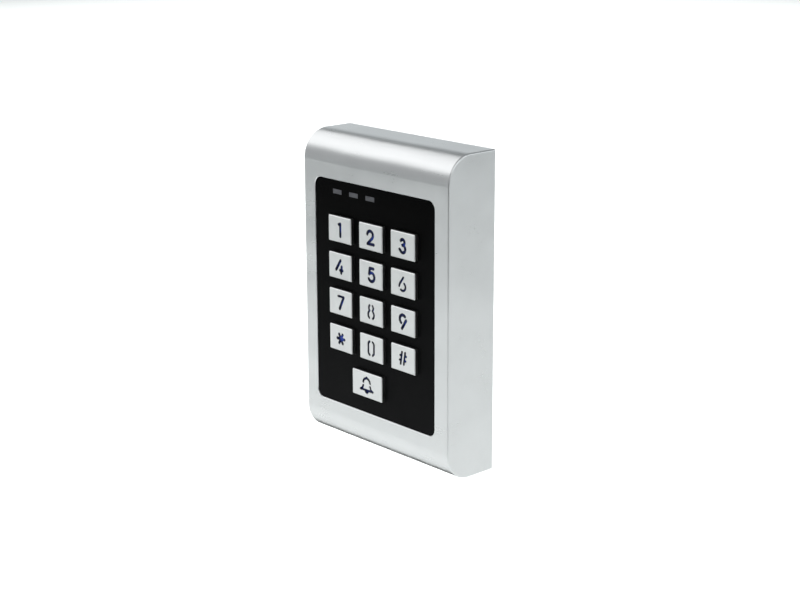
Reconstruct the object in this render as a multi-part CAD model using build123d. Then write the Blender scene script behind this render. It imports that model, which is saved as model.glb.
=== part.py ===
from build123d import *
import os

# Wall-mounted keypad access reader.
#
# Frame: the origin is the centre of the face that lies on the wall. +X is to the right
# as seen from the front, +Z is up, and the front faces -Y.
# Every depth below is a distance forward of the wall face, so a depth d is at Y = -d.
# Lengths are in millimetres.

# Housing: a die-cast shell, open at the back
WIDTH = 80.0
HEIGHT = 121.0
DEPTH = 23.0
EDGE_RADIUS = 11.0
SIDE_EDGE_RADIUS = 0.6
WALL = 2.5
LEDGE_BACK = 3.0
LEDGE_FRONT = 4.5
LEDGE_WIDTH = 3.0
REBATE_CLEARANCE = 0.2

# Window in the housing's front, and the black panel that fills it
WINDOW_WIDTH = 66.4
WINDOW_HEIGHT = 88.0
WINDOW_X = -0.3
WINDOW_Z = -0.5
WINDOW_CORNER = 3.2
WINDOW_CHAMFER = 0.2
PANEL_GAP = 0.1
PANEL_RECESS = 0.3
PANEL_BACK = 18.5
PANEL_FLANGE = 2.5
PANEL_SKIRT_WALL = 1.2
SEAL_THICKNESS = 0.5

# Keys: twelve in a grid and one bell key below
COLUMN_PITCH = 17.6
ROW_PITCH = 14.25
KEY_WIDTH = 12.95
KEY_HEIGHT = 9.95
KEY_FRONT = 24.4
KEY_CORNER = 0.4
KEY_CHAMFER = 0.3
KEY_WALL = 1.0
KEY_FACE_WALL = 0.7
KEY_FLANGE = 0.8
KEY_TRAVEL = 1.0
KEY_CLEARANCE = 0.1
GRID_CENTRE_X = -0.1
GRID_CENTRE_Z = 3.8
BELL_WIDTH = 16.8
BELL_X = -2.7
BELL_Z = -32.7

# Cut-through symbols on the key faces
STROKE = 1.25
THIN_STROKE = 0.95

# Circuit board
BOARD_FRONT = 13.5
BOARD_THICKNESS = 1.6
BOARD_WIDTH = 72.0
BOARD_HEIGHT = 108.0
BOARD_CORNER = 2.0
BOARD_SCREW_X = 31.5
BOARD_SCREW_Z = 51.0

# Rubber keypad between the board and the key caps
MAT_THICKNESS = 1.0
MAT_MARGIN = 4.0
DOME_CAVITY_WIDTH = 9.4
DOME_CAVITY_HEIGHT = 6.4
PILL_RADIUS = 1.8
PILL_THICKNESS = 0.4

# Status windows at the top left of the panel
STATUS_COUNT = 3
STATUS_WIDTH = 4.9
STATUS_HEIGHT = 1.7
STATUS_PITCH = 9.3
STATUS_X = -20.7
STATUS_Z = 39.1
STATUS_GAP = 0.05

# Back plate, its wall holes, its cable entry and its security screw
PLATE_THICKNESS = 1.5
WALL_HOLE_RADIUS = 2.1
WALL_HOLE_X = 25.0
WALL_HOLE_Z = 42.0
GROMMET_Z = -22.0
GROMMET_BORE = 5.0
GROMMET_OUTER = 7.0
TAB_THICKNESS = 1.5
HOOK_X = 17.0
HOOK_DEPTH = 7.0
SECURITY_DEPTH = 6.5

# Tamper switch: its plunger is pressed in by the wall and springs out by its travel
TAMPER_X = 22.0
TAMPER_Z = 18.0
PLUNGER_RADIUS = 1.55
PLUNGER_TRAVEL = 1.2
SWITCH_BACK = 8.0
COLLAR_THICKNESS = 0.8
SPRING_RADIUS = 2.3
SPRING_WIRE = 0.35

BOARD_BACK = BOARD_FRONT - BOARD_THICKNESS
CAVITY_FRONT = DEPTH - WALL
PANEL_FRONT = DEPTH - PANEL_RECESS
FLANGE_WIDTH = WINDOW_WIDTH + 2 * PANEL_FLANGE
FLANGE_HEIGHT = WINDOW_HEIGHT + 2 * PANEL_FLANGE
CAP_BACK = PANEL_BACK - KEY_CLEARANCE - KEY_FLANGE
DOME_ROOF = BOARD_FRONT + KEY_TRAVEL + PILL_THICKNESS
EPS = 0.01


# ---------------------------------------------------------------- simple forms

def slab(width, height, back, front, x=0.0, z=0.0, corner=0.0):
    """A rectangular piece that faces forward, between two depths."""
    outline = RectangleRounded(width, height, corner) if corner else Rectangle(width, height)
    return extrude(Plane.XZ.offset(back) * Pos(x, z) * outline, front - back)


def peg(radius, back, front, x=0.0, z=0.0):
    """A round piece along the depth, between two depths."""
    return extrude(Plane.XZ.offset(back) * Pos(x, z) * Circle(radius), front - back)


def upright(radius, bottom, top, x, depth):
    """A round piece along Z."""
    return Pos(x, -depth, (bottom + top) / 2) * Cylinder(radius, top - bottom)


def frame_ring(width, height, rail, back, front, corner):
    """A flat rectangular ring with rails of one width."""
    outer = slab(width, height, back, front, corner=corner)
    inner = slab(width - 2 * rail, height - 2 * rail, back - EPS, front + EPS, corner=max(corner - rail, 0.3))
    return outer - inner


def window_slab(width, height, back, front, corner):
    """A rectangular piece about the window's centre."""
    return slab(width, height, back, front, WINDOW_X, WINDOW_Z, corner)


def window_ring(width, height, rail, back, front, corner):
    """A flat ring about the window's centre."""
    return Pos(WINDOW_X, 0, WINDOW_Z) * frame_ring(width, height, rail, back, front, corner)


def taper(bottom_size, top_size, back, front, x, z):
    """A block that narrows from its back to its front."""
    base = Plane.XZ.offset(back) * Pos(x, z) * Rectangle(*bottom_size)
    roof = Plane.XZ.offset(front) * Pos(x, z) * Rectangle(*top_size)
    return loft([base, roof])


# ---------------------------------------------------------------- the keys' places

def key_places():
    """Each key's name, its width and the place of its centre."""
    rows = [["1", "2", "3"], ["4", "5", "6"], ["7", "8", "9"], ["star", "0", "hash"]]
    places = []
    for row, names in enumerate(rows):
        for column, name in enumerate(names):
            x = GRID_CENTRE_X + (column - 1) * COLUMN_PITCH
            z = GRID_CENTRE_Z + (1.5 - row) * ROW_PITCH
            places.append((name, KEY_WIDTH, x, z))
    places.append(("bell", BELL_WIDTH, BELL_X, BELL_Z))
    return places


# ---------------------------------------------------------------- symbols

def line(x1, z1, x2, z2, width=STROKE):
    """A straight cut with round ends, in millimetres from the key's centre."""
    return SlotArc(Line((x1, z1), (x2, z2)), width)


def arc(x, z, radius, start, sweep, width=STROKE):
    """A curved cut with round ends about (x, z); angles in degrees from +X."""
    return SlotArc(CenterArc((x, z), radius, start, sweep), width)


def symbol_1():
    return line(0.5, 2.25, 0.5, -2.5) + line(0.5, 2.25, -0.35, 2.0)


def symbol_2():
    cut = arc(-0.05, 0.9, 1.55, 172, -212)
    cut += line(1.1, -0.15, -1.5, -2.5)
    return cut + line(-1.5, -2.5, 1.9, -2.5)


def symbol_3():
    cut = arc(0.1, 1.3, 1.05, 150, -240) + arc(0.15, -1.15, 1.4, 95, -230)
    return cut + line(-0.85, -2.1, -1.45, -1.5)


def symbol_4():
    cut = line(0.4, 2.3, -2.1, -1.45)
    cut += line(1.05, 0.0, 0.75, -2.5)
    return cut + line(0.15, -1.5, 1.5, -1.45)


def symbol_5():
    cut = line(1.6, 2.55, -0.35, 2.55) + line(-0.35, 2.55, -0.75, 0.3)
    return cut + arc(0.5, -0.75, 1.65, 140, -290)


def symbol_6():
    cut = line(0.45, 2.45, -1.5, -0.2, THIN_STROKE) + line(-1.5, -0.2, -1.75, -1.0, THIN_STROKE)
    return cut + arc(0.05, -1.05, 1.55, 55, -182, THIN_STROKE)


def symbol_7():
    return line(-1.15, 2.45, 2.05, 2.45, THIN_STROKE) + line(1.95, 2.3, -0.35, -2.4)


def symbol_8():
    cut = Sketch()
    for side in (-1, 1):
        middle = 90 + side * 90
        cut += Pos(0.15, 0) * arc(0.0, 1.5, 1.25, 180 - middle - side * 48, side * 98, THIN_STROKE)
        cut += Pos(0.15, 0) * arc(0.0, -1.1, 1.65, 180 - middle - side * 52, side * 104, THIN_STROKE)
    return cut


def symbol_9():
    return arc(0.15, 0.9, 1.65, 48, 188) + line(1.85, 0.7, -0.3, -2.6)


def symbol_star():
    cut = Sketch()
    for turn in (0, 60, 120):
        cut += Pos(0.1, -0.1) * Rot(0, 0, turn) * SlotCenterToCenter(4.0, STROKE)
    return cut


def symbol_0():
    cut = Sketch()
    middle = 0.05
    half = 1.6
    straight = 1.4
    corner = 1.3
    for side in (-1, 1):
        x = middle + side * half
        cut += line(x, straight, x, -straight, THIN_STROKE)
        cut += arc(x - side * corner, straight, corner, 90 - side * 90, side * 66, THIN_STROKE)
        cut += arc(x - side * corner, -straight, corner, 90 - side * 90, -side * 66, THIN_STROKE)
    return cut


def symbol_hash():
    cut = Sketch()
    for side, top_x, bottom_x in ((-1, -0.35, -1.1), (1, 1.35, 0.6)):
        cut += line(top_x, 2.6, bottom_x, -2.0, THIN_STROKE)
        for height in (1.25, -0.6):
            x = bottom_x + (top_x - bottom_x) * (height + 2.0) / 4.6
            cut += line(x, height, x + side * 0.75, height, THIN_STROKE)
    return cut


def symbol_bell():
    middle = -0.1
    shoulder = 0.75
    radius = 1.95
    rim = -2.0
    cut = Pos(middle, 2.9) * Circle(0.6)
    cut += arc(middle, shoulder, radius, 8, 164, THIN_STROKE)
    for side in (-1, 1):
        cut += line(middle + side * radius, -0.35, middle + side * 2.4, -1.4, THIN_STROKE)
        cut += line(middle + side * 2.4, -1.4, middle + side * 3.45, rim, THIN_STROKE)
    cut += line(middle - 3.5, rim, middle + 3.5, rim, THIN_STROKE)
    clapper = Pos(middle, rim - 0.2) * Circle(1.2)
    return cut + (clapper & (Pos(middle, rim - 1.2) * Rectangle(4, 2)))


SYMBOLS = {
    "1": symbol_1, "2": symbol_2, "3": symbol_3, "4": symbol_4, "5": symbol_5,
    "6": symbol_6, "7": symbol_7, "8": symbol_8, "9": symbol_9, "0": symbol_0,
    "star": symbol_star, "hash": symbol_hash, "bell": symbol_bell,
}


# ---------------------------------------------------------------- housing and panel

def housing_form(inset, back):
    """The housing's outer form drawn in by inset, from a depth to its front."""
    front = DEPTH - inset
    side_view = Pos(-(back + front) / 2, 0) * Rectangle(front - back, HEIGHT - 2 * inset)
    side_view = fillet(side_view.vertices().group_by(Axis.X)[0], EDGE_RADIUS - inset)
    return extrude(Plane.YZ * side_view, WIDTH / 2 - inset, both=True)


def front_housing():
    shell = housing_form(0, 0)
    side_edges = shell.edges().filter_by(lambda e: abs(e.center().X) > WIDTH / 2 - EPS and e.center().Y < -EPS)
    shell = fillet(side_edges, SIDE_EDGE_RADIUS)
    shell -= window_slab(WINDOW_WIDTH, WINDOW_HEIGHT, CAVITY_FRONT - 1, DEPTH + 1, WINDOW_CORNER)
    window_edges = shell.edges().filter_by(
        lambda e: abs(e.center().Y + DEPTH) < EPS
        and abs(e.center().X - WINDOW_X) < WINDOW_WIDTH / 2 + EPS
        and abs(e.center().Z - WINDOW_Z) < WINDOW_HEIGHT / 2 + EPS
    )
    shell = chamfer(window_edges, WINDOW_CHAMFER)
    shell -= housing_form(WALL, LEDGE_FRONT)
    opening_width = WIDTH - 2 * WALL
    opening_height = HEIGHT - 2 * WALL
    rebate = slab(opening_width + 2, opening_height + 2, -1, LEDGE_BACK)
    inner_width = opening_width + 2 - 2 * LEDGE_WIDTH
    inner_height = opening_height + 2 - 2 * LEDGE_WIDTH
    shell -= rebate
    shell -= slab(inner_width, inner_height, LEDGE_BACK - EPS, LEDGE_FRONT + EPS)
    for x in (-BOARD_SCREW_X, BOARD_SCREW_X):
        for z in (-BOARD_SCREW_Z, BOARD_SCREW_Z):
            shell += peg(3.0, BOARD_FRONT, CAVITY_FRONT, x, z)
            shell -= peg(1.15, BOARD_FRONT - EPS, BOARD_FRONT + 5.5, x, z)
    for x in (-HOOK_X, HOOK_X):
        shell += Pos(x, -HOOK_DEPTH, HEIGHT / 2 - WALL - 2) * Box(5, 1.6, 4 + 2 * EPS)
    head = Pos(0, -SECURITY_DEPTH, -HEIGHT / 2 + 0.85) * Cone(3.1, 1.55, 1.7)
    shell -= head
    shell -= upright(1.7, -HEIGHT / 2 - 1, -HEIGHT / 2 + WALL + 1, 0, SECURITY_DEPTH)
    return shell


def keypad_panel():
    face_width = WINDOW_WIDTH - 2 * PANEL_GAP
    face_height = WINDOW_HEIGHT - 2 * PANEL_GAP
    panel = window_slab(face_width, face_height, PANEL_BACK, PANEL_FRONT, WINDOW_CORNER - PANEL_GAP)
    panel = chamfer(panel.edges().group_by(Axis.Y)[0], 0.2)
    panel += window_slab(FLANGE_WIDTH, FLANGE_HEIGHT, PANEL_BACK, CAVITY_FRONT - SEAL_THICKNESS, 2.0)
    panel += window_ring(FLANGE_WIDTH, FLANGE_HEIGHT, PANEL_SKIRT_WALL, BOARD_FRONT, PANEL_BACK, 2.0)
    for name, width, x, z in key_places():
        hole_width = width + 2 * KEY_CLEARANCE
        hole_height = KEY_HEIGHT + 2 * KEY_CLEARANCE
        panel -= slab(hole_width, hole_height, PANEL_BACK - 1, PANEL_FRONT + 1, x, z, KEY_CORNER + KEY_CLEARANCE)
    for x in status_places():
        width = STATUS_WIDTH + 2 * STATUS_GAP
        height = STATUS_HEIGHT + 2 * STATUS_GAP
        panel -= slab(width, height, PANEL_BACK - 1, PANEL_FRONT + 1, x, STATUS_Z)
    return panel


def panel_seal():
    return window_ring(FLANGE_WIDTH, FLANGE_HEIGHT, 2.0, CAVITY_FRONT - SEAL_THICKNESS, CAVITY_FRONT, 2.0)


def antenna_coil():
    room = FLANGE_WIDTH - 2 * PANEL_SKIRT_WALL - 0.6
    height = FLANGE_HEIGHT - 2 * PANEL_SKIRT_WALL - 0.6
    return window_ring(room, height, 2.2, PANEL_BACK - 2.2, PANEL_BACK, 3.0)


# ---------------------------------------------------------------- keys and rubber

def key_cap(name, width, x, z):
    cap = slab(width, KEY_HEIGHT, CAP_BACK, KEY_FRONT, x, z, KEY_CORNER)
    cap = chamfer(cap.edges().group_by(Axis.Y)[0], KEY_CHAMFER)
    cap += slab(width + 2 * KEY_FLANGE, KEY_HEIGHT + 2 * KEY_FLANGE, CAP_BACK, CAP_BACK + KEY_FLANGE, x, z, 0.8)
    cap -= key_cavity(width, x, z, CAP_BACK - EPS)
    symbol = Plane.XZ.offset(KEY_FRONT - KEY_FACE_WALL - EPS) * Pos(x, z) * SYMBOLS[name]()
    return cap - extrude(symbol, KEY_WALL + 1)


def key_cavity(width, x, z, back):
    """The space inside a key cap, which its light insert fills."""
    return slab(width - 2 * KEY_WALL, KEY_HEIGHT - 2 * KEY_WALL, back, KEY_FRONT - KEY_FACE_WALL, x, z, 0.3)


def rubber_keypad():
    places = key_places()
    left = min(x - width / 2 for name, width, x, z in places) - MAT_MARGIN
    right = max(x + width / 2 for name, width, x, z in places) + MAT_MARGIN
    bottom = min(z for name, width, x, z in places) - KEY_HEIGHT / 2 - MAT_MARGIN
    top = max(z for name, width, x, z in places) + KEY_HEIGHT / 2 + MAT_MARGIN
    mat_back = BOARD_FRONT
    mat_front = BOARD_FRONT + MAT_THICKNESS
    mat = slab(right - left, top - bottom, mat_back, mat_front, (left + right) / 2, (bottom + top) / 2, 2.0)
    for name, width, x, z in places:
        mat += taper((12.0, 8.6), (9.6, 6.4), mat_front - EPS, DOME_ROOF + 1.2, x, z)
        mat += slab(9.6, 6.4, DOME_ROOF + 1.2, CAP_BACK, x, z)
    for name, width, x, z in places:
        mat -= slab(DOME_CAVITY_WIDTH, DOME_CAVITY_HEIGHT, mat_back - EPS, DOME_ROOF, x, z, 1.0)
    return mat


def contact_pills():
    """Conductive pills under the domes, in the same places as the keys."""
    return [peg(PILL_RADIUS, DOME_ROOF - PILL_THICKNESS, DOME_ROOF, x, z) for name, width, x, z in key_places()]


# ---------------------------------------------------------------- status lights

def status_places():
    return [STATUS_X + STATUS_PITCH * i for i in range(STATUS_COUNT)]


def status_light_guide():
    middle = STATUS_X + STATUS_PITCH * (STATUS_COUNT - 1) / 2
    length = STATUS_PITCH * (STATUS_COUNT - 1) + STATUS_WIDTH + 1.6
    guide = slab(length, STATUS_HEIGHT + 1.6, PANEL_BACK - 3.5, PANEL_BACK, middle, STATUS_Z, 0.8)
    for x in status_places():
        guide += slab(STATUS_WIDTH, STATUS_HEIGHT, PANEL_BACK - EPS, PANEL_FRONT, x, STATUS_Z)
    return guide


def status_leds():
    return [slab(3.2, 1.6, BOARD_FRONT, BOARD_FRONT + 1.1, x, STATUS_Z) for x in status_places()]


def backlight_leds():
    return [slab(1.6, 0.8, BOARD_FRONT, BOARD_FRONT + 0.35, x + 3.2, z) for name, width, x, z in key_places()]


# ---------------------------------------------------------------- board and what is on it

def main_board():
    board = slab(BOARD_WIDTH, BOARD_HEIGHT, BOARD_BACK, BOARD_FRONT, corner=BOARD_CORNER)
    for x in (-BOARD_SCREW_X, BOARD_SCREW_X):
        for z in (-BOARD_SCREW_Z, BOARD_SCREW_Z):
            board -= peg(1.4, BOARD_BACK - 1, BOARD_FRONT + 1, x, z)
    return board


def board_screws():
    screws = []
    for x in (-BOARD_SCREW_X, BOARD_SCREW_X):
        for z in (-BOARD_SCREW_Z, BOARD_SCREW_Z):
            head = peg(2.4, BOARD_BACK - 1.7, BOARD_BACK, x, z)
            head = fillet(head.edges().group_by(Axis.Y)[-1], 0.6)
            screw = head + peg(1.1, BOARD_BACK - EPS, BOARD_FRONT + 4.5, x, z)
            for wide, tall in ((2.6, 0.6), (0.6, 2.6)):
                screw -= slab(wide, tall, BOARD_BACK - 2, BOARD_BACK - 0.9, x, z)
            screws.append(screw)
    return screws


def chip(size_x, size_z, height, legs, pitch, x, z, four_sides):
    """A chip on the board's back with rows of legs."""
    body = slab(size_x, size_z, BOARD_BACK - height, BOARD_BACK - 0.15, x, z, 0.3)
    for i in range(legs):
        step = (i - (legs - 1) / 2) * pitch
        body += slab(size_x + 2.0, 0.4 * pitch, BOARD_BACK - 0.35, BOARD_BACK, x, z + step)
        if four_sides:
            body += slab(0.4 * pitch, size_z + 2.0, BOARD_BACK - 0.35, BOARD_BACK, x + step, z)
    return body


def capacitors():
    cans = []
    for x, z in ((-26.0, -14.0), (-26.0, -23.0), (26.0, -8.0)):
        can = peg(3.15, BOARD_BACK - 5.8, BOARD_BACK - 0.8, x, z)
        can = fillet(can.edges().group_by(Axis.Y)[-1], 0.4)
        cans.append(can + slab(6.8, 6.8, BOARD_BACK - 0.8, BOARD_BACK, x, z, 0.8))
    return cans


def resistors():
    pieces = []
    for column in range(4):
        for row in range(5):
            x = 2.5 + 4.0 * column
            z = 22.0 + 3.2 * row
            pieces.append(slab(2.0, 1.25, BOARD_BACK - 0.5, BOARD_BACK, x, z))
    return pieces


def crystal():
    return slab(11.0, 4.6, BOARD_BACK - 3.5, BOARD_BACK, -14.0, 22.5, 2.2)


def voltage_regulator():
    body = slab(6.5, 6.1, BOARD_BACK - 2.3, BOARD_BACK, -26.0, -2.0, 0.2)
    body += slab(5.2, 8.1, BOARD_BACK - 0.5, BOARD_BACK, -26.0, -1.4)
    for x in (-28.3, -26.0, -23.7):
        body += slab(0.8, 9.8, BOARD_BACK - 0.5, BOARD_BACK, x, -3.0)
    return body


def buzzer():
    can = peg(6.0, BOARD_BACK - 7.0, BOARD_BACK, 22.0, 34.0)
    can = fillet(can.edges().group_by(Axis.Y)[-1], 0.5)
    return can - peg(1.0, BOARD_BACK - 8.0, BOARD_BACK - 4.0, 22.0, 34.0)


def relay():
    body = slab(15.0, 10.4, BOARD_BACK - 8.4, BOARD_BACK, 23.0, -28.0, 0.6)
    return fillet(body.edges().group_by(Axis.Y)[-1], 0.4)


def wire_socket():
    """A pin header with a shell that is open to the back."""
    shell = slab(27.0, 6.0, BOARD_BACK - 7.5, BOARD_BACK, -6.0, -40.0, 0.3)
    shell -= slab(25.4, 4.4, BOARD_BACK - 8.5, BOARD_BACK - 1.2, -6.0, -40.0, 0.2)
    for i in range(10):
        shell += slab(0.6, 0.6, BOARD_BACK - 6.0, BOARD_BACK - 1.0, -6.0 + (i - 4.5) * 2.5, -40.0)
    return shell


# ---------------------------------------------------------------- tamper switch

def tamper_switch():
    body = slab(6.4, 6.4, SWITCH_BACK, BOARD_BACK, TAMPER_X, TAMPER_Z, 0.4)
    return body - peg(PLUNGER_RADIUS + 0.05, SWITCH_BACK - 1, SWITCH_BACK + 2.2, TAMPER_X, TAMPER_Z)


def tamper_plunger():
    """The stem ends level with the wall face; its collar stops on the back plate."""
    stem = peg(PLUNGER_RADIUS, 0, SWITCH_BACK + 1.8, TAMPER_X, TAMPER_Z)
    stem = fillet(stem.edges().group_by(Axis.Y)[-1], 0.4)
    collar_back = PLATE_THICKNESS + PLUNGER_TRAVEL
    return stem + peg(2.6, collar_back, collar_back + COLLAR_THICKNESS, TAMPER_X, TAMPER_Z)


def tamper_spring():
    """The space of the coil spring between the plunger's collar and the switch body."""
    start = PLATE_THICKNESS + PLUNGER_TRAVEL + COLLAR_THICKNESS
    coils = peg(SPRING_RADIUS, start, SWITCH_BACK, TAMPER_X, TAMPER_Z)
    return coils - peg(SPRING_RADIUS - SPRING_WIRE, start - 1, SWITCH_BACK + 1, TAMPER_X, TAMPER_Z)


# ---------------------------------------------------------------- back of the reader

def back_seal():
    width = WIDTH - 2 * WALL + 2 - 2 * REBATE_CLEARANCE
    height = HEIGHT - 2 * WALL + 2 - 2 * REBATE_CLEARANCE
    return frame_ring(width, height, LEDGE_WIDTH - REBATE_CLEARANCE, PLATE_THICKNESS, LEDGE_BACK, 0.5)


def back_plate():
    width = WIDTH - 2 * WALL + 2 - 2 * REBATE_CLEARANCE
    height = HEIGHT - 2 * WALL + 2 - 2 * REBATE_CLEARANCE
    plate = slab(width, height, 0, PLATE_THICKNESS, corner=1.0)
    tab_top = HEIGHT / 2 - WALL + 1 - LEDGE_WIDTH - 0.1
    for x in (-HOOK_X, HOOK_X):
        tab_middle = tab_top - TAB_THICKNESS / 2
        plate += slab(12, TAB_THICKNESS, PLATE_THICKNESS - EPS, HOOK_DEPTH + 3, x, tab_middle)
        plate -= Pos(x, -HOOK_DEPTH, tab_middle) * Box(5.6, 2.0, TAB_THICKNESS + 1)
    plate += slab(12, TAB_THICKNESS, PLATE_THICKNESS - EPS, SECURITY_DEPTH + 3, 0, -tab_top + TAB_THICKNESS / 2)
    plate -= upright(1.5, -tab_top - 1, -tab_top + TAB_THICKNESS + 1, 0, SECURITY_DEPTH)
    plate -= peg(GROMMET_OUTER, -1, PLATE_THICKNESS + 1, 0, GROMMET_Z)
    plate -= peg(PLUNGER_RADIUS + 0.25, -1, PLATE_THICKNESS + 1, TAMPER_X, TAMPER_Z)
    for x in (-WALL_HOLE_X, WALL_HOLE_X):
        for z in (-WALL_HOLE_Z, WALL_HOLE_Z):
            plate -= peg(WALL_HOLE_RADIUS, -1, PLATE_THICKNESS + 1, x, z)
    for x in (-12.0, 12.0):
        plate -= slab(3.0, 44.0, -1, 0.5, x, 26.0, 1.4)
    return plate


def cable_grommet():
    grommet = peg(GROMMET_OUTER, 0, PLATE_THICKNESS + EPS, 0, GROMMET_Z)
    flange = peg(GROMMET_OUTER + 1.4, PLATE_THICKNESS, PLATE_THICKNESS + 1.4, 0, GROMMET_Z)
    flange = fillet(flange.edges().group_by(Axis.Y)[0], 0.5)
    return grommet + flange - peg(GROMMET_BORE, -1, PLATE_THICKNESS + 3, 0, GROMMET_Z)


def security_screw():
    """A countersunk screw up through the bottom wall, with a star-shaped recess."""
    bottom = -HEIGHT / 2
    screw = Pos(0, -SECURITY_DEPTH, bottom + 0.85) * Cone(3.0, 1.45, 1.7)
    screw += upright(1.45, bottom + 1.6, bottom + 8.5, 0, SECURITY_DEPTH)
    for turn in (0, 60, 120):
        lobe = Rot(0, 0, turn) * Box(2.2, 0.6, 2.4)
        screw -= Pos(0, -SECURITY_DEPTH, bottom) * lobe
    return screw


# ---------------------------------------------------------------- write every node

def write(node, shape):
    """Writes one node's solid, or its group of solids, to its own file."""
    if isinstance(shape, list):
        solids = [solid for piece in shape for solid in piece.solids()]
    else:
        solids = shape.solids()
    result = solids[0] if len(solids) == 1 else Compound(children=solids)
    export_step(result, os.path.join("parts", node + ".step"))


os.makedirs("parts", exist_ok=True)

write("front_housing", front_housing())
write("keypad_panel", keypad_panel())
write("panel_seal", panel_seal())
write("antenna_coil", antenna_coil())
write("rubber_keypad", rubber_keypad())
write("contact_pills", contact_pills())
write("status_light_guide", status_light_guide())
write("status_leds", status_leds())
write("backlight_leds", backlight_leds())
write("main_board", main_board())
write("board_screws", board_screws())
write("controller_chip", chip(10.0, 10.0, 1.5, 11, 0.8, -14.0, 11.0, True))
write("reader_chip", chip(4.4, 10.0, 1.6, 8, 1.27, 6.0, 8.0, False))
write("memory_chip", chip(3.9, 4.9, 1.6, 4, 1.27, -14.0, 33.0, False))
write("voltage_regulator", voltage_regulator())
write("capacitors", capacitors())
write("resistors", resistors())
write("crystal", crystal())
write("buzzer", buzzer())
write("relay", relay())
write("wire_socket", wire_socket())
write("tamper_switch", tamper_switch())
write("tamper_plunger", tamper_plunger())
write("tamper_spring", tamper_spring())
write("back_seal", back_seal())
write("back_plate", back_plate())
write("cable_grommet", cable_grommet())
write("security_screw", security_screw())

for key_name, key_width, key_x, key_z in key_places():
    write("key_" + key_name + "_cap", key_cap(key_name, key_width, key_x, key_z))
    write("key_" + key_name + "_light", key_cavity(key_width, key_x, key_z, CAP_BACK))
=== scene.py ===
import math

import bmesh
import bpy
from mathutils import Matrix, Vector


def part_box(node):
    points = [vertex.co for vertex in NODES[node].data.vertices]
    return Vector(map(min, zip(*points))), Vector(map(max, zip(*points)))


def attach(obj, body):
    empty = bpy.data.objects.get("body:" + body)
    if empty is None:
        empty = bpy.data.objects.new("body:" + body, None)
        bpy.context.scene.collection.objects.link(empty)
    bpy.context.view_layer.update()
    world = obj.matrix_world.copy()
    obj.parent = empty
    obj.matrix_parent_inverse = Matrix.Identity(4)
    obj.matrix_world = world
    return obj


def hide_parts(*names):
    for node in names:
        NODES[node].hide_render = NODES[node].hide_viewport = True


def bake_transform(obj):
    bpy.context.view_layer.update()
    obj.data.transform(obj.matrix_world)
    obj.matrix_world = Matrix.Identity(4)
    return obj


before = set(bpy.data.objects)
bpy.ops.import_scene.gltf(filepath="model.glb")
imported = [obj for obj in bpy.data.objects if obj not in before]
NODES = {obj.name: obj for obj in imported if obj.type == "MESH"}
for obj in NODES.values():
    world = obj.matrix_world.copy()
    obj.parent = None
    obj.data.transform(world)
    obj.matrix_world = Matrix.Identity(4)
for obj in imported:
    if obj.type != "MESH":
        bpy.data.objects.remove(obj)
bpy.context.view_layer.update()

# A wall-mounted keypad access reader, in metres, in the frame of the CAD model.
MM = 0.001

KEY_NAMES = [str(digit) for digit in range(10)] + ["star", "hash", "bell"]


# ---------------------------------------------------------------- camera

AZIMUTH = math.radians(47.85)
ELEVATION = math.radians(13.73)
ROLL = math.radians(-0.2)
DISTANCE = 0.6072
TARGET = Vector((0.0020, -0.0115, 0.0187))
FOCAL_LENGTH = 73.1
SENSOR = 36.0
SHIFT_UP = -0.0625


def make_camera():
    data = bpy.data.cameras.new("camera")
    data.sensor_width = SENSOR
    data.lens = FOCAL_LENGTH
    data.shift_y = SHIFT_UP
    data.clip_start = 0.01
    data.clip_end = 50.0
    camera = bpy.data.objects.new("camera", data)
    bpy.context.scene.collection.objects.link(camera)
    flat = math.cos(ELEVATION)
    back = Vector((math.sin(AZIMUTH) * flat, -math.cos(AZIMUTH) * flat, math.sin(ELEVATION)))
    camera.location = TARGET + back * DISTANCE
    turn = (-back).to_track_quat("-Z", "Y").to_matrix() @ Matrix.Rotation(ROLL, 3, "Z")
    camera.rotation_euler = turn.to_euler()
    bpy.context.scene.camera = camera


# ---------------------------------------------------------------- floor and light

FLOOR_Z = -0.36
FLOOR_SIZE = 16.0
FLOOR_WHITE = 0.9
FLOOR_TINT = (0.98, 1.0, 0.99)


def make_floor():
    bpy.ops.mesh.primitive_plane_add(size=FLOOR_SIZE, location=(0, 0, FLOOR_Z))
    floor = bpy.context.object
    floor.name = "floor"
    paint = tuple(FLOOR_WHITE * channel for channel in FLOOR_TINT)
    surface = Surface("floor_paint", paint, 0.9, Specular_IOR_Level=0.0)
    floor.data.materials.append(surface.material)


def make_softbox(name, place, width, height, radiance):
    """A soft rectangular light that faces the object."""
    data = bpy.data.lights.new(name, "AREA")
    data.shape = "RECTANGLE"
    data.size = width
    data.size_y = height
    data.energy = radiance * math.pi * width * height
    light = bpy.data.objects.new(name, data)
    light.location = place
    light.rotation_euler = (-Vector(place)).to_track_quat("-Z", "Y").to_euler()
    bpy.context.scene.collection.objects.link(light)


def make_flag(name, cloth, place, aim, width, height):
    """A black card that only reflections see."""
    bpy.ops.mesh.primitive_plane_add(size=1.0, location=place)
    flag = bpy.context.object
    flag.name = name
    flag.rotation_euler = (Vector(aim) - Vector(place)).to_track_quat("Z", "Y").to_euler()
    flag.scale = (width, height, 1)
    flag.visible_camera = flag.visible_diffuse = flag.visible_shadow = False
    flag.data.materials.append(cloth)


SPOT_SIZE = 0.3


def make_spot(name, over, height, radius, level, blend):
    """A spot straight down, not mirrored by metal, that lights a round pool of the floor to a level."""
    data = bpy.data.lights.new(name, "SPOT")
    data.spot_size = 2 * math.atan(radius / height)
    data.spot_blend = blend
    data.shadow_soft_size = SPOT_SIZE
    data.energy = 4 * math.pi * height ** 2 * math.pi * level / FLOOR_WHITE
    light = bpy.data.objects.new(name, data)
    light.location = (*over, FLOOR_Z + height)
    light.visible_glossy = False
    bpy.context.scene.collection.objects.link(light)


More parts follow.
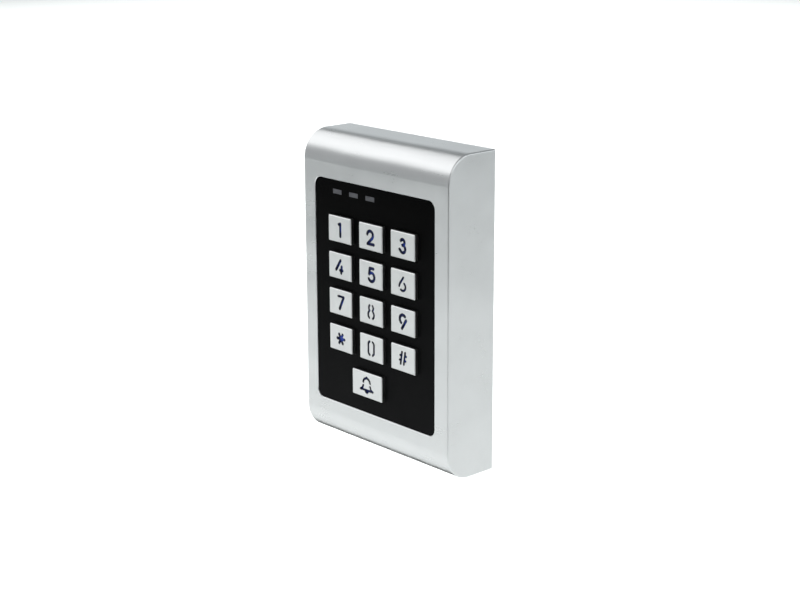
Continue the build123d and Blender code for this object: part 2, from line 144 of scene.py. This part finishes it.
def toward(azimuth, elevation, distance):
    """A point seen from the object at an azimuth from the X axis and an elevation, in degrees."""
    turn, rise = math.radians(azimuth), math.radians(elevation)
    flat = distance * math.cos(rise)
    return flat * math.cos(turn), flat * math.sin(turn), distance * math.sin(rise)


SOFTBOX_ELEVATION = 41
SOFTBOX_DISTANCE = 1.6
SOFTBOX = {"width": 2.0, "height": 0.8, "radiance": 1.1}
CORNER_FLAG_LEVEL = -0.08
RIM_FLAG_SPOT = (-0.46, 0.32)


def make_lights():
    """Two soft boxes to the sides, two pools of light on the floor, and cards that darken two edges."""
    make_spot("pool", over=(0.0, 0.15), height=4.7, radius=2.2, level=0.44, blend=0.6)
    make_spot("backdrop", over=(-2.3, 2.1), height=4.0, radius=3.6, level=1.1, blend=0.5)
    make_softbox("left_softbox", toward(-162, SOFTBOX_ELEVATION, SOFTBOX_DISTANCE), **SOFTBOX)
    make_softbox("right_softbox", toward(-18, SOFTBOX_ELEVATION, SOFTBOX_DISTANCE), **SOFTBOX)
    cloth = Surface("flag_cloth", (0.0, 0.0, 0.0), 1.0, Specular_IOR_Level=0.0).material
    make_flag("corner_flag", cloth, place=(0.636, -0.706, CORNER_FLAG_LEVEL),
              aim=(0, 0, CORNER_FLAG_LEVEL), width=1.5, height=0.32)
    make_flag("rim_flag", cloth, place=(*RIM_FLAG_SPOT, FLOOR_Z + 2 * MM),
              aim=(*RIM_FLAG_SPOT, 1), width=0.5, height=0.5)


# Room light as (sine of elevation, level), in front of the wall plane and behind it
FRONT_TINT = (0.96, 0.985, 1.0)
FRONT_STOPS = ((0.0, 0.48), (0.5, 0.47), (0.9, 0.35))
BACK_TINT = (0.93, 0.98, 1.0)
BACK_STOPS = ((0.0, 1.4), (0.3, 1.35), (0.45, 0.27), (0.7, 0.36), (0.9, 0.35))
BACK_FULL_FROM = 0.35


def sky_ramp(tree, height, tint, stops):
    """Light by height above the horizon, from stops of (sine of elevation, level)."""
    ramp = tree.nodes.new("ShaderNodeValToRGB")
    tree.links.new(height, ramp.inputs["Fac"])
    ramp.color_ramp.elements[0].position = stops[0][0]
    ramp.color_ramp.elements[1].position = stops[-1][0]
    for position, _ in stops[1:-1]:
        ramp.color_ramp.elements.new(position)
    for element, (_, level) in zip(ramp.color_ramp.elements, stops):
        element.color = (*(level * channel for channel in tint), 1)
    return ramp.outputs["Color"]


def make_world():
    """A studio room: even grey in front, a pale low wall with a dark gap above it behind."""
    world = bpy.data.worlds.new("studio")
    bpy.context.scene.world = world
    world.use_nodes = True
    tree = world.node_tree
    background = tree.nodes["Background"]
    direction = tree.nodes.new("ShaderNodeTexCoord")
    split = tree.nodes.new("ShaderNodeSeparateXYZ")
    tree.links.new(direction.outputs["Generated"], split.inputs["Vector"])
    front = sky_ramp(tree, split.outputs["Z"], FRONT_TINT, FRONT_STOPS)
    back = sky_ramp(tree, split.outputs["Z"], BACK_TINT, BACK_STOPS)
    turn = tree.nodes.new("ShaderNodeMapRange")
    turn.inputs["From Min"].default_value = 0.0
    turn.inputs["From Max"].default_value = BACK_FULL_FROM
    tree.links.new(split.outputs["Y"], turn.inputs["Value"])
    mix = tree.nodes.new("ShaderNodeMix")
    mix.data_type = "RGBA"
    tree.links.new(turn.outputs["Result"], mix.inputs["Factor"])
    tree.links.new(front, mix.inputs["A"])
    tree.links.new(back, mix.inputs["B"])
    tree.links.new(mix.outputs["Result"], background.inputs["Color"])


# ---------------------------------------------------------------- materials

class Surface:
    """A Principled material and short ways to build its texture nodes."""

    def __init__(self, name, color, roughness, metallic=0.0, **inputs):
        self.material = bpy.data.materials.new(name)
        self.material.use_nodes = True
        self.tree = self.material.node_tree
        self.shader = self.tree.nodes["Principled BSDF"]
        self.color = color
        self.roughness = roughness
        self.set("Base Color", (*color, 1))
        self.set("Roughness", roughness)
        self.set("Metallic", metallic)
        for socket, value in inputs.items():
            self.set(socket.replace("_", " "), value)
        self.place = self.tree.nodes.new("ShaderNodeTexCoord").outputs["Object"]

    def set(self, socket, value):
        self.shader.inputs[socket].default_value = value

    def node(self, kind, **settings):
        node = self.tree.nodes.new(kind)
        for name, value in settings.items():
            setattr(node, name, value)
        return node

    def link(self, output, target):
        self.tree.links.new(output, target)

    def stretched(self, scale):
        """Texture coordinates scaled per axis, so that a grain can run one way."""
        mapping = self.node("ShaderNodeMapping")
        mapping.inputs["Scale"].default_value = scale
        self.link(self.place, mapping.inputs["Vector"])
        return mapping.outputs["Vector"]

    def noise(self, size, detail=3.0, soft=0.55, place=None):
        """Noise whose blobs are about size metres across."""
        noise = self.node("ShaderNodeTexNoise")
        noise.inputs["Scale"].default_value = 1.0 / size
        noise.inputs["Detail"].default_value = detail
        noise.inputs["Roughness"].default_value = soft
        self.link(place or self.place, noise.inputs["Vector"])
        return noise.outputs["Fac"]

    def cells(self, size, feature="F1", output="Distance"):
        """Voronoi cells about size metres across."""
        voronoi = self.node("ShaderNodeTexVoronoi", feature=feature)
        voronoi.inputs["Scale"].default_value = 1.0 / size
        self.link(self.place, voronoi.inputs["Vector"])
        return voronoi.outputs[output]

    def spread(self, factor, low, high, start=0.3, end=0.7):
        """Maps a texture's middle values to a range of plain numbers."""
        node = self.node("ShaderNodeMapRange")
        for socket, value in (("From Min", start), ("From Max", end), ("To Min", low), ("To Max", high)):
            node.inputs[socket].default_value = value
        self.link(factor, node.inputs["Value"])
        return node.outputs["Result"]

    def combine(self, operation, first, second):
        """Plain arithmetic on two textures or numbers."""
        node = self.node("ShaderNodeMath", operation=operation)
        for socket, value in zip(node.inputs, (first, second)):
            if isinstance(value, (int, float)):
                socket.default_value = value
            else:
                self.link(value, socket)
        return node.outputs[0]

    def share(self, first, part, second):
        """A mix that takes one part of the first texture and the rest of the second."""
        first_part = self.combine("MULTIPLY", first, part)
        return self.combine("ADD", first_part, self.combine("MULTIPLY", second, 1 - part))

    def vary_color(self, factor, low, high):
        """Base colour between two multiples of the material's own colour."""
        node = self.node("ShaderNodeMix", data_type="RGBA")
        node.inputs["A"].default_value = (*(channel * low for channel in self.color), 1)
        node.inputs["B"].default_value = (*(channel * high for channel in self.color), 1)
        self.link(factor, node.inputs["Factor"])
        self.link(node.outputs["Result"], self.shader.inputs["Base Color"])

    def vary_roughness(self, factor):
        self.link(factor, self.shader.inputs["Roughness"])

    def bump(self, height, depth, strength=1.0, below=None):
        """Surface relief of a real depth in metres."""
        node = self.node("ShaderNodeBump")
        node.inputs["Strength"].default_value = strength
        node.inputs["Distance"].default_value = depth
        self.link(height, node.inputs["Height"])
        if below:
            self.link(below, node.inputs["Normal"])
        self.link(node.outputs["Normal"], self.shader.inputs["Normal"])
        return node.outputs["Normal"]


def satin_metal():
    """Die-cast metal with a satin plating: soft waves, faint polishing streaks, fine grain."""
    surface = Surface("satin_metal", (0.70, 0.709, 0.712), 0.30, 1.0, Specular_Tint=(0.6, 0.6, 0.6, 1))
    waves = surface.noise(22 * MM, 1.0, place=surface.stretched((0.7, 1.0, 1.0)))
    streaks = surface.noise(0.7 * MM, 3.0, place=surface.stretched((0.05, 1.0, 1.0)))
    grain = surface.noise(0.5 * MM, 2.0)
    blotches = surface.noise(14 * MM, 4.0)
    mixed = surface.share(streaks, 0.5, blotches)
    surface.vary_roughness(surface.spread(mixed, 0.26, 0.34))
    surface.vary_color(surface.spread(blotches, 0, 1), 0.97, 1.02)
    wavy = surface.bump(waves, 0.45 * MM)
    surface.bump(grain, 0.002 * MM, 0.5, below=wavy)
    return surface.material


def panel_plastic():
    """Black moulded plastic with a fine spark-eroded texture, and a painted sheen that makes it lighter
    towards its foot.
    """
    surface = Surface("panel_plastic", (0.002, 0.002, 0.0021), 0.35, Specular_IOR_Level=0.02)
    split = surface.node("ShaderNodeSeparateXYZ")
    surface.link(surface.place, split.inputs["Vector"])
    low, high = (corner[2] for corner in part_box("keypad_panel"))
    # Painted sheen: the colour is lighter towards the panel's foot and darker towards its top, standing in
    # for the light it reflects.
    dust_and_painted_sheen = surface.spread(split.outputs["Z"], 0.8, 0.05, low, high)
    haze = surface.noise(18 * MM, 3.0)
    surface.vary_color(surface.combine("MULTIPLY", dust_and_painted_sheen, surface.spread(haze, 0.85, 1.15)), 0.0, 5.6)
    surface.vary_roughness(surface.spread(haze, 0.31, 0.39))
    surface.bump(surface.noise(0.45 * MM, 2.0), 0.006 * MM, 0.5)
    return surface.material


def key_metal():
    """Plated key caps: a satin face polished by fingers, and sides and symbol edges darkened by painted
    shade.
    """
    surface = Surface("key_metal", (0.76, 0.768, 0.765), 0.40, 1.0)
    streaks = surface.noise(0.6 * MM, 2.0, place=surface.stretched((0.1, 1.0, 1.0)))
    touch = surface.noise(5 * MM, 3.0)
    mixed = surface.share(streaks, 0.4, touch)
    surface.vary_roughness(surface.spread(mixed, 0.36, 0.44))
    # Painted shade: faces that turn away from the front, the outer sides and the walls of the symbol cuts,
    # get a darker colour that stands in for their shade.
    facing = surface.node("ShaderNodeSeparateXYZ")
    surface.link(surface.node("ShaderNodeTexCoord").outputs["Normal"], facing.inputs["Vector"])
    painted_side_shade = surface.spread(facing.outputs["Y"], 1.0, 0.0, -0.6, -0.2)
    shade = surface.combine("MULTIPLY", painted_side_shade, surface.spread(touch, 0.93, 1.0))
    surface.vary_color(shade, 0.3, 1.03)
    surface.bump(touch, 0.02 * MM, 0.5)
    return surface.material


INSERT_WIDTH = 11.0 * MM
INSERT_HEIGHT = 8.0 * MM
# Radii of the painted backlight glow on the insert: full within the first, faded to its lowest at the
# second.
GLOW_FULL_RADIUS = 0.7 * MM
GLOW_FADED_RADIUS = 1.6 * MM


def blue_insert():
    """Tinted light insert under the cut-through symbols, with a painted backlight glow at its middle."""
    surface = Surface("blue_insert", (0.022, 0.05, 0.30), 0.4, Specular_IOR_Level=0.25)
    place = surface.node("ShaderNodeTexCoord").outputs["Generated"]
    middle = surface.node("ShaderNodeVectorMath", operation="SUBTRACT")
    middle.inputs[1].default_value = (0.5, 0.5, 0.5)
    surface.link(place, middle.inputs[0])
    size = surface.node("ShaderNodeVectorMath", operation="MULTIPLY")
    size.inputs[1].default_value = (INSERT_WIDTH, 0, INSERT_HEIGHT)
    surface.link(middle.outputs["Vector"], size.inputs[0])
    away = surface.node("ShaderNodeVectorMath", operation="LENGTH")
    surface.link(size.outputs["Vector"], away.inputs[0])
    # Painted glow: the colour is brightest at the insert's middle and falls off outward, standing in for
    # the backlight shining through.
    clear = surface.spread(away.outputs["Value"], 1.0, 0.18, GLOW_FULL_RADIUS, GLOW_FADED_RADIUS)
    cloud = surface.spread(surface.noise(2.5 * MM, 3.0), 0.6, 1.0)
    surface.vary_color(surface.combine("MULTIPLY", clear, cloud), 0.1, 1.7)
    surface.bump(surface.noise(0.4 * MM), 0.01 * MM, 0.4)
    return surface.material


def window_plastic():
    """Smoky light-guide plastic, unlit."""
    surface = Surface("window_plastic", (0.075, 0.076, 0.087), 0.3)
    surface.vary_color(surface.spread(surface.noise(3 * MM), 0, 1), 0.8, 1.2)
    surface.bump(surface.cells(0.35 * MM), 0.01 * MM, 0.5)
    return surface.material


def rubber(name, color, roughness=0.75):
    surface = Surface(name, color, roughness)
    dust_and_painted_sheen = surface.noise(4 * MM, 4.0)
    surface.vary_color(surface.spread(dust_and_painted_sheen, 0, 1), 0.8, 1.3)
    surface.vary_roughness(surface.spread(dust_and_painted_sheen, roughness - 0.06, roughness + 0.08))
    surface.bump(surface.noise(0.35 * MM, 4.0), 0.03 * MM, 0.6)
    return surface.material


def moulded(name, color, roughness=0.5):
    surface = Surface(name, color, roughness)
    flow = surface.noise(3 * MM, 3.0)
    surface.vary_color(surface.spread(flow, 0, 1), 0.88, 1.1)
    surface.vary_roughness(surface.spread(flow, roughness - 0.06, roughness + 0.06))
    surface.bump(surface.noise(0.2 * MM, 2.0), 0.008 * MM, 0.5)
    return surface.material


def plated_steel(name, color, roughness=0.36):
    """Zinc-plated sheet steel: faint crystals and rolling lines."""
    surface = Surface(name, color, roughness, 1.0)
    crystals = surface.cells(2.2 * MM, output="Color")
    rolled = surface.noise(0.4 * MM, 3.0, place=surface.stretched((1.0, 1.0, 0.05)))
    stain = surface.noise(16 * MM, 5.0)
    level = surface.share(crystals, 0.35, rolled)
    surface.vary_roughness(surface.spread(level, roughness - 0.08, roughness + 0.1))
    surface.vary_color(surface.spread(stain, 0, 1), 0.88, 1.04)
    surface.bump(rolled, 0.004 * MM, 0.5)
    return surface.material


def copper_wire():
    """Enamelled copper wire."""
    surface = Surface("copper_wire", (0.55, 0.20, 0.07), 0.28, 1.0, Coat_Weight=0.6, Coat_Roughness=0.15)
    surface.vary_color(surface.spread(surface.noise(1.5 * MM), 0, 1), 0.75, 1.2)
    surface.bump(surface.noise(0.25 * MM), 0.01 * MM, 0.4)
    return surface.material


def board_mask():
    """Green solder mask with raised tracks below it."""
    surface = Surface("board_mask", (0.015, 0.13, 0.055), 0.32, Coat_Weight=0.4, Coat_Roughness=0.2)
    tracks = surface.cells(3.2 * MM, feature="DISTANCE_TO_EDGE")
    raised = surface.spread(tracks, 1, 0, 0.06, 0.09)
    surface.vary_color(raised, 0.75, 1.5)
    surface.bump(raised, 0.03 * MM, 0.6)
    return surface.material


# ---------------------------------------------------------------- wound pieces

def add_mesh(name, mesh_form, material):
    """A new smooth-shaded object from a bmesh, with its material."""
    mesh = bpy.data.meshes.new(name)
    bmesh.ops.recalc_face_normals(mesh_form, faces=mesh_form.faces)
    mesh_form.to_mesh(mesh)
    mesh_form.free()
    mesh.shade_smooth()
    piece = bpy.data.objects.new(name, mesh)
    bpy.context.scene.collection.objects.link(piece)
    mesh.materials.append(material)
    return piece


def add_wire(form, path, radius, sides, closed):
    """A round wire along a path that winds about the Y axis."""
    rings = []
    for i, point in enumerate(path):
        before = path[i - 1] if i or closed else point
        after = path[(i + 1) % len(path)] if i + 1 < len(path) or closed else point
        along = (after - before).normalized()
        across = along.cross(Vector((0, 1, 0))).normalized()
        up = across.cross(along)
        ring = []
        for side in range(sides):
            turn = 2 * math.pi * side / sides
            ring.append(form.verts.new(point + radius * (math.cos(turn) * across + math.sin(turn) * up)))
        rings.append(ring)
    joins = len(rings) if closed else len(rings) - 1
    for i in range(joins):
        near, far = rings[i], rings[(i + 1) % len(rings)]
        for side in range(sides):
            beside = (side + 1) % sides
            form.faces.new((near[side], near[beside], far[beside], far[side]))
    if not closed:
        form.faces.new(rings[0])
        form.faces.new(rings[-1])


SPRING_WIRE = 0.35 * MM
SPRING_TURNS = 6.5
STEPS_PER_TURN = 28


def tamper_coil():
    """The plunger's coil spring, with a closed turn at each end."""
    low, high = (Vector(corner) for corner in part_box("tamper_spring"))
    middle = (low + high) / 2
    coil_radius = (high.x - low.x) / 2 - SPRING_WIRE / 2
    start = low.y + SPRING_WIRE / 2
    pitch = (high.y - low.y - 3 * SPRING_WIRE) / (SPRING_TURNS - 2)
    path = []
    steps = int(SPRING_TURNS * STEPS_PER_TURN)
    for i in range(steps + 1):
        turns = SPRING_TURNS * i / steps
        open_turns = min(max(turns - 1, 0), SPRING_TURNS - 2)
        rise = (turns - open_turns) * SPRING_WIRE + open_turns * pitch
        angle = 2 * math.pi * turns
        path.append(Vector((middle.x + coil_radius * math.cos(angle), start + rise,
                            middle.z + coil_radius * math.sin(angle))))
    form = bmesh.new()
    add_wire(form, path, SPRING_WIRE / 2, sides=10, closed=False)
    steel = plated_steel("spring_steel", (0.50, 0.50, 0.51), 0.28)
    piece = add_mesh("tamper_coil", form, steel)
    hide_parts("tamper_spring")
    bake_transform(piece)


WINDING_LAYERS = 5
WINDING_FILL = 0.96
COIL_CORNER = 3.0 * MM
SMALLEST_CORNER = 0.6 * MM
CORNER_STEPS = 6


def rounded_loop(low, high, inset, y):
    """Points round a rectangle with round corners, in a plane across the Y axis."""
    radius = max(COIL_CORNER - inset, SMALLEST_CORNER)
    left, right = low.x + inset + radius, high.x - inset - radius
    bottom, top = low.z + inset + radius, high.z - inset - radius
    points = []
    for quarter, (x, z) in enumerate(((right, top), (left, top), (left, bottom), (right, bottom))):
        for step in range(CORNER_STEPS + 1):
            angle = math.pi / 2 * (quarter + step / CORNER_STEPS)
            points.append(Vector((x + radius * math.cos(angle), y, z + radius * math.sin(angle))))
    return points


def antenna_windings():
    """The card antenna: layers of enamelled wire wound in a rounded rectangle."""
    low, high = (Vector(corner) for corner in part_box("antenna_coil"))
    wire = (high.y - low.y) / WINDING_LAYERS
    form = bmesh.new()
    for layer in range(WINDING_LAYERS):
        for row in range(WINDING_LAYERS):
            inset = (layer + 0.5) * wire
            y = low.y + (row + 0.5) * wire
            path = rounded_loop(low, high, inset, y)
            add_wire(form, path, WINDING_FILL * wire / 2, sides=6, closed=True)
    piece = add_mesh("antenna_windings", form, copper_wire())
    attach(piece, "reader")
    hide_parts("antenna_coil")


# ---------------------------------------------------------------- materials on the CAD nodes

def put(material, *names):
    """Gives CAD nodes one material."""
    for name in names:
        mesh = NODES[name].data
        mesh.materials.clear()
        mesh.materials.append(material)


def dress_nodes():
    put(satin_metal(), "front_housing")
    put(panel_plastic(), "keypad_panel")
    put(key_metal(), *("key_" + name + "_cap" for name in KEY_NAMES))
    put(blue_insert(), *("key_" + name + "_light" for name in KEY_NAMES))
    put(window_plastic(), "status_light_guide")
    put(rubber("seal_rubber", (0.02, 0.02, 0.021)), "panel_seal", "back_seal", "cable_grommet")
    put(rubber("silicone", (0.50, 0.53, 0.58), 0.6), "rubber_keypad")
    put(rubber("carbon_pill", (0.015, 0.015, 0.015), 0.65), "contact_pills")
    put(plated_steel("back_plate_steel", (0.46, 0.47, 0.48)), "back_plate")
    put(plated_steel("screw_steel", (0.45, 0.45, 0.46), 0.3), "board_screws", "security_screw")
    put(board_mask(), "main_board")
    put(moulded("chip_resin", (0.018, 0.018, 0.02), 0.55), "controller_chip", "reader_chip", "memory_chip")
    put(moulded("part_black", (0.022, 0.022, 0.025), 0.45), "voltage_regulator", "resistors", "buzzer")
    put(moulded("switch_black", (0.03, 0.03, 0.032), 0.5), "tamper_switch")
    put(moulded("part_blue", (0.02, 0.08, 0.34), 0.35), "relay")
    put(moulded("part_white", (0.78, 0.77, 0.72), 0.4), "wire_socket", "tamper_plunger")
    put(moulded("led_lens", (0.80, 0.78, 0.62), 0.25), "status_leds", "backlight_leds")
    put(plated_steel("can_metal", (0.72, 0.73, 0.74), 0.28), "capacitors", "crystal")


make_camera()
make_floor()
make_world()
make_lights()
dress_nodes()
tamper_coil()
antenna_windings()

bpy.context.scene.view_settings.view_transform = "Standard"
